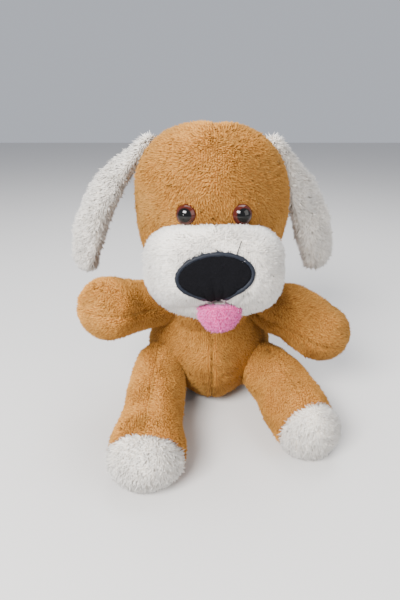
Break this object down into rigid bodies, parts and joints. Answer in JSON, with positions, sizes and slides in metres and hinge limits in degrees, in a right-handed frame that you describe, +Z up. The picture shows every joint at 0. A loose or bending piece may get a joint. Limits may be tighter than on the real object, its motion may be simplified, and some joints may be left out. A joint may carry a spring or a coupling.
{
  "type": "plush dog",
  "caption": "Sitting plush puppy with floppy ears, a felt nose and a lolling tongue; sewn plush covers over fibre filling, with soft swinging limbs and a turning head.",
  "frame": {"origin": "middle of the flat seat under the body, on the surface it sits on", "axes": "+Z up, the dog faces -Y, its own left side is +X"},
  "size_m": [0.252, 0.2492, 0.2707],
  "materials": {
    "fibre_filling": "loose polyester fibre",
    "amber_plastic": "gloss",
    "black_plastic": "gloss",
    "clear_white_plastic": "satin",
    "black_felt": "felt",
    "navy_thread": "satin thread",
    "pink_plush": "curly pile",
    "white_short_plush": "short pile",
    "white_long_plush": "long pile",
    "brown_plush": "short pile"
  },
  "bodies": {
    "torso": {"torso_back_left_panel": "brown_plush", "torso_back_right_panel": "brown_plush", "torso_filling": "fibre_filling", "torso_front_left_panel": "brown_plush", "torso_front_right_panel": "brown_plush"},
    "neck": {"neck_wad": "fibre_filling"},
    "head": {"head_back_left_panel": "brown_plush", "head_back_right_panel": "brown_plush", "head_face_panel": "brown_plush", "head_filling": "fibre_filling", "left_eye_cap": "amber_plastic", "left_eye_pupil": "black_plastic", "left_eye_shank": "clear_white_plastic", "left_eye_washer": "clear_white_plastic", "lower_jaw_cover": "white_short_plush", "lower_jaw_filling": "fibre_filling", "muzzle_cover": "white_short_plush", "muzzle_filling": "fibre_filling", "nose_patch": "black_felt", "nose_stitching": "navy_thread", "right_eye_cap": "amber_plastic", "right_eye_pupil": "black_plastic", "right_eye_shank": "clear_white_plastic", "right_eye_washer": "clear_white_plastic"},
    "left_ear": {"left_ear_inner_panel": "white_long_plush", "left_ear_outer_panel": "white_long_plush", "left_ear_wadding": "fibre_filling"},
    "right_ear": {"right_ear_inner_panel": "white_long_plush", "right_ear_outer_panel": "white_long_plush", "right_ear_wadding": "fibre_filling"},
    "tongue": {"tongue_lining": "pink_plush", "tongue_top": "pink_plush"},
    "left_arm": {"left_arm_filling": "fibre_filling", "left_arm_lower_panel": "brown_plush", "left_arm_upper_panel": "brown_plush"},
    "right_arm": {"right_arm_filling": "fibre_filling", "right_arm_lower_panel": "brown_plush", "right_arm_upper_panel": "brown_plush"},
    "left_leg": {"left_leg_filling": "fibre_filling", "left_leg_inner_panel": "brown_plush", "left_leg_outer_panel": "brown_plush", "left_toe_cap": "white_long_plush"},
    "right_leg": {"right_leg_filling": "fibre_filling", "right_leg_inner_panel": "brown_plush", "right_leg_outer_panel": "brown_plush", "right_toe_cap": "white_long_plush"},
    "tail": {"tail_cover": "brown_plush", "tail_filling": "fibre_filling"}
  },
  "joints": [
    {"name": "head_turn", "type": "hinge", "parent": "torso", "child": "neck", "pos_m": [0, -0.01, 0.095], "axis": [0, 0, 1], "range_deg": [-12, 12]},
    {"name": "head_nod", "type": "hinge", "parent": "neck", "child": "head", "pos_m": [0, -0.01, 0.095], "axis": [1, 0, 0], "range_deg": [-8, 10]},
    {"name": "left_ear_flap", "type": "hinge", "parent": "head", "child": "left_ear", "pos_m": [0.052, -0.014, 0.2485], "axis": [0.3472, -0.9377, -0.0136], "range_deg": [0, 25]},
    {"name": "right_ear_flap", "type": "hinge", "parent": "head", "child": "right_ear", "pos_m": [-0.054, -0.014, 0.25], "axis": [-0.2925, -0.9515, 0.095], "range_deg": [-30, 0]},
    {"name": "tongue_flap", "type": "hinge", "parent": "head", "child": "tongue", "pos_m": [0.004, -0.11659, 0.13992], "axis": [1, 0, 0], "range_deg": [-25, 0]},
    {"name": "left_arm_swing", "type": "hinge", "parent": "torso", "child": "left_arm", "pos_m": [0.049, -0.011, 0.097], "axis": [-0.5145, -0.8575, 0], "range_deg": [-6, 25]},
    {"name": "right_arm_swing", "type": "hinge", "parent": "torso", "child": "right_arm", "pos_m": [-0.049, -0.011, 0.097], "axis": [0.7071, -0.7071, 0], "range_deg": [-12, 28]},
    {"name": "left_leg_swing", "type": "hinge", "parent": "torso", "child": "left_leg", "pos_m": [0.052, -0.029, 0.036], "axis": [0, 0, 1], "range_deg": [-8, 20]},
    {"name": "right_leg_swing", "type": "hinge", "parent": "torso", "child": "right_leg", "pos_m": [-0.05, -0.031, 0.036], "axis": [0, 0, 1], "range_deg": [-20, 8]},
    {"name": "tail_wag", "type": "hinge", "parent": "torso", "child": "tail", "pos_m": [0, 0.0485, 0.03], "axis": [0, 1, 0], "range_deg": [-20, 20]}
  ]
}
